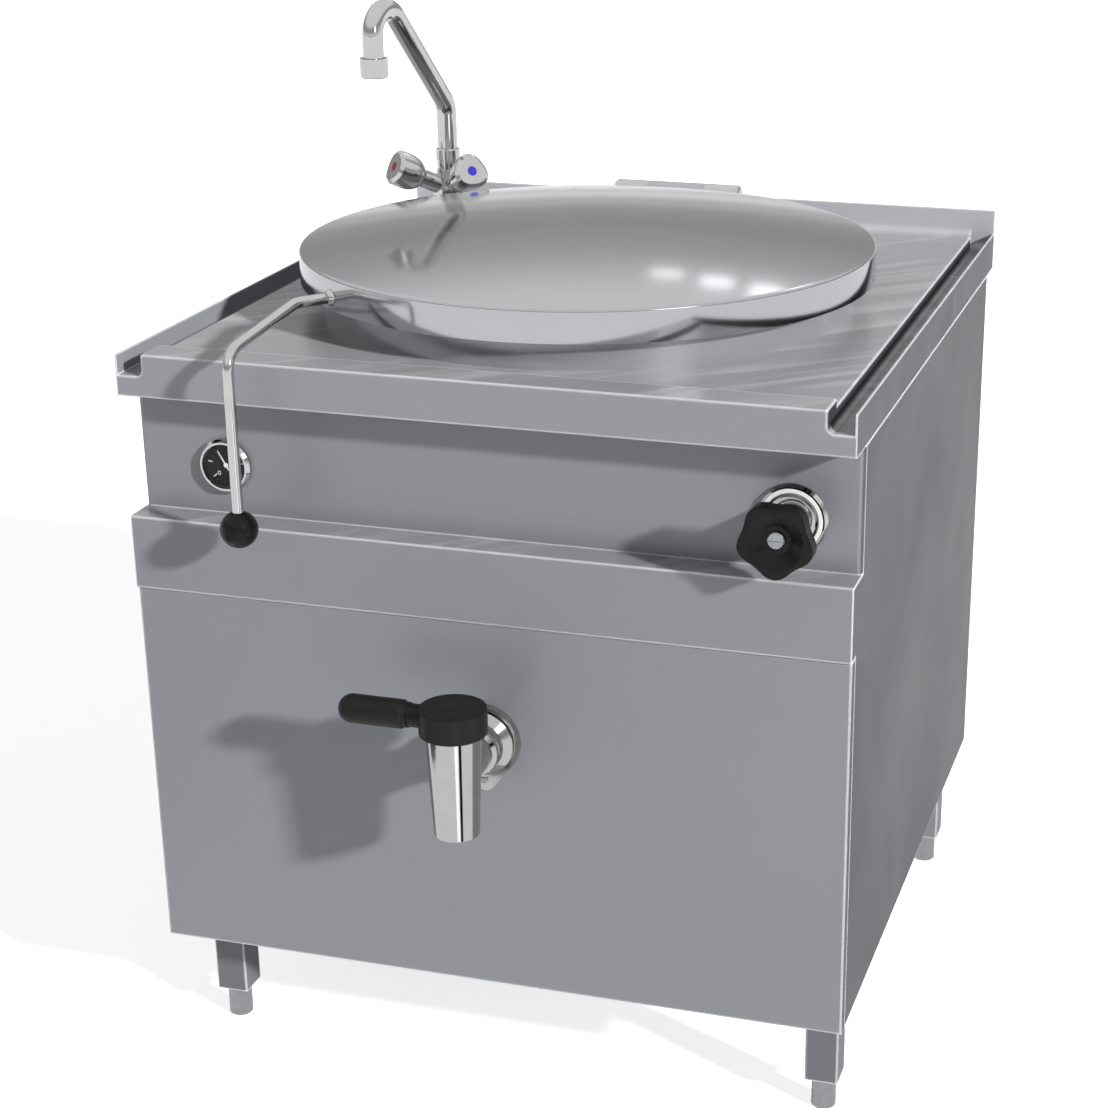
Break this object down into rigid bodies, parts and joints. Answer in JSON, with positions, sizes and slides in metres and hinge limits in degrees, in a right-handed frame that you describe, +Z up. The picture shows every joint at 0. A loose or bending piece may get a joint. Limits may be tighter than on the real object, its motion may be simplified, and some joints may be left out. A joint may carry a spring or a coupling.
{
  "type": "steam jacketed kettle",
  "caption": "Square cabinet kettle with a round steam heated pot, hinged lid on a ball ended bar, drain cock, steam valve, pressure gauge and mixer tap.",
  "frame": {"origin": "on the floor, under the middle of the whole outline", "axes": "+Z up, the front of the cabinet faces -Y, +X to the right seen from the front"},
  "size_m": [0.8, 0.965, 1.143],
  "materials": {
    "satin_stainless": "satin brushed stainless sheet",
    "lid_stainless": "spun and satin finished stainless sheet",
    "pan_stainless": "spun and polished stainless sheet",
    "bright_chrome": "polished chromium plate",
    "plain_steel": "mill finish stainless",
    "valve_brass": "cast and turned brass",
    "copper_pipe": "drawn copper",
    "mineral_wool": "pressed mineral wool",
    "black_plastic": "moulded phenolic",
    "dark_plastic": "moulded nylon",
    "foot_stainless": "turned stainless",
    "gauge_glass": "clear flat glass",
    "dial_black": "matt black enamel",
    "needle_white": "white enamel",
    "spring_steel": "oiled spring wire"
  },
  "bodies": {
    "cabinet": {"worktop": "satin_stainless", "side_panel_left": "satin_stainless", "side_panel_right": "satin_stainless", "rear_panel": "satin_stainless", "floor_panel": "satin_stainless", "control_panel": "satin_stainless", "ledge_band": "satin_stainless", "front_panel": "satin_stainless", "base_frame": "plain_steel", "legs": "satin_stainless", "kettle_vessel": "pan_stainless", "steam_jacket": "plain_steel", "jacket_insulation": "mineral_wool", "drain_pipe": "plain_steel", "drain_strainer": "pan_stainless", "drain_flange": "bright_chrome", "drain_flange_screw": "bright_chrome", "drain_valve_body": "bright_chrome", "steam_valve_body": "valve_brass", "valve_escutcheon": "bright_chrome", "valve_bonnet": "bright_chrome", "steam_pipes": "plain_steel", "condensate_pipes": "plain_steel", "steam_trap": "valve_brass", "safety_valve": "valve_brass", "gauge_case": "plain_steel", "gauge_bezel": "bright_chrome", "gauge_glass": "gauge_glass", "gauge_dial": "dial_black", "gauge_movement": "plain_steel", "gauge_tube": "copper_pipe", "hinge_housings": "bright_chrome", "hinge_caps": "bright_chrome", "hinge_pin": "plain_steel", "hinge_springs": "spring_steel", "mixer_body": "bright_chrome", "mixer_collar": "bright_chrome", "mixer_nut": "valve_brass", "water_pipes": "copper_pipe"},
    "lid": {"lid_shell": "lid_stainless", "lid_drip_ring": "lid_stainless", "lid_hinge_arm": "lid_stainless", "lid_handle_rod": "bright_chrome", "lid_handle_knob": "black_plastic"},
    "drain_cock": {"drain_plug": "valve_brass", "drain_cap": "dark_plastic", "drain_handle": "dark_plastic"},
    "steam_wheel": {"handwheel": "black_plastic", "handwheel_screw": "bright_chrome", "valve_spindle": "plain_steel"},
    "closing_disc": {"valve_disc": "valve_brass"},
    "needle": {"gauge_needle": "needle_white"},
    "spout": {"mixer_spout": "bright_chrome", "mixer_aerator": "bright_chrome"},
    "hot_tap": {"hot_knob": "bright_chrome"},
    "cold_tap": {"cold_knob": "bright_chrome"},
    "foot_fl": {"foot_front_left": "foot_stainless"},
    "foot_fr": {"foot_front_right": "foot_stainless"},
    "foot_rl": {"foot_rear_left": "foot_stainless"},
    "foot_rr": {"foot_rear_right": "foot_stainless"}
  },
  "joints": [
    {"name": "lid_hinge", "type": "hinge", "parent": "cabinet", "child": "lid", "pos_m": [0, 0.3925, 0.89], "axis": [-1, 0, 0], "range_deg": [0, 85]},
    {"name": "drain_cock_turn", "type": "hinge", "parent": "cabinet", "child": "drain_cock", "pos_m": [0, -0.4465, 0.5098], "axis": [0, 0, 1], "range_deg": [0, 90]},
    {"name": "steam_wheel_turn", "type": "hinge", "parent": "cabinet", "child": "steam_wheel", "pos_m": [0.327, -0.3815, 0.721], "axis": [0, -1, 0], "range_deg": [0, 1080]},
    {"name": "closing_disc_slide", "type": "slide", "parent": "cabinet", "child": "closing_disc", "axis": [0, -1, 0], "range_m": [0, 0.009]},
    {"name": "needle_turn", "type": "hinge", "parent": "cabinet", "child": "needle", "pos_m": [-0.3, -0.3275, 0.722], "axis": [0, -1, 0], "range_deg": [-165, 105], "stiffness_Nm_per_rad": 0.0002},
    {"name": "spout_swivel", "type": "hinge", "parent": "cabinet", "child": "spout", "pos_m": [-0.325, 0.4125, 0.921], "axis": [0, 0, -1], "range_deg": [0, 80]},
    {"name": "hot_tap_turn", "type": "hinge", "parent": "cabinet", "child": "hot_tap", "pos_m": [-0.325, 0.4125, 0.88063], "axis": [-0.6409, -0.6409, 0.4226], "range_deg": [0, 360]},
    {"name": "cold_tap_turn", "type": "hinge", "parent": "cabinet", "child": "cold_tap", "pos_m": [-0.325, 0.4125, 0.88063], "axis": [0.6409, -0.6409, 0.4226], "range_deg": [0, 360]},
    {"name": "foot_fl_screw", "type": "slide", "parent": "cabinet", "child": "foot_fl", "axis": [0, 0, -1], "range_m": [0, 0.03]},
    {"name": "foot_fr_screw", "type": "slide", "parent": "cabinet", "child": "foot_fr", "axis": [0, 0, -1], "range_m": [0, 0.03]},
    {"name": "foot_rl_screw", "type": "slide", "parent": "cabinet", "child": "foot_rl", "axis": [0, 0, -1], "range_m": [0, 0.03]},
    {"name": "foot_rr_screw", "type": "slide", "parent": "cabinet", "child": "foot_rr", "axis": [0, 0, -1], "range_m": [0, 0.03]}
  ],
  "couplings": [
    {"joint": "closing_disc_slide", "follows": "steam_wheel_turn", "m_per_rad": 0.00047746}
  ]
}
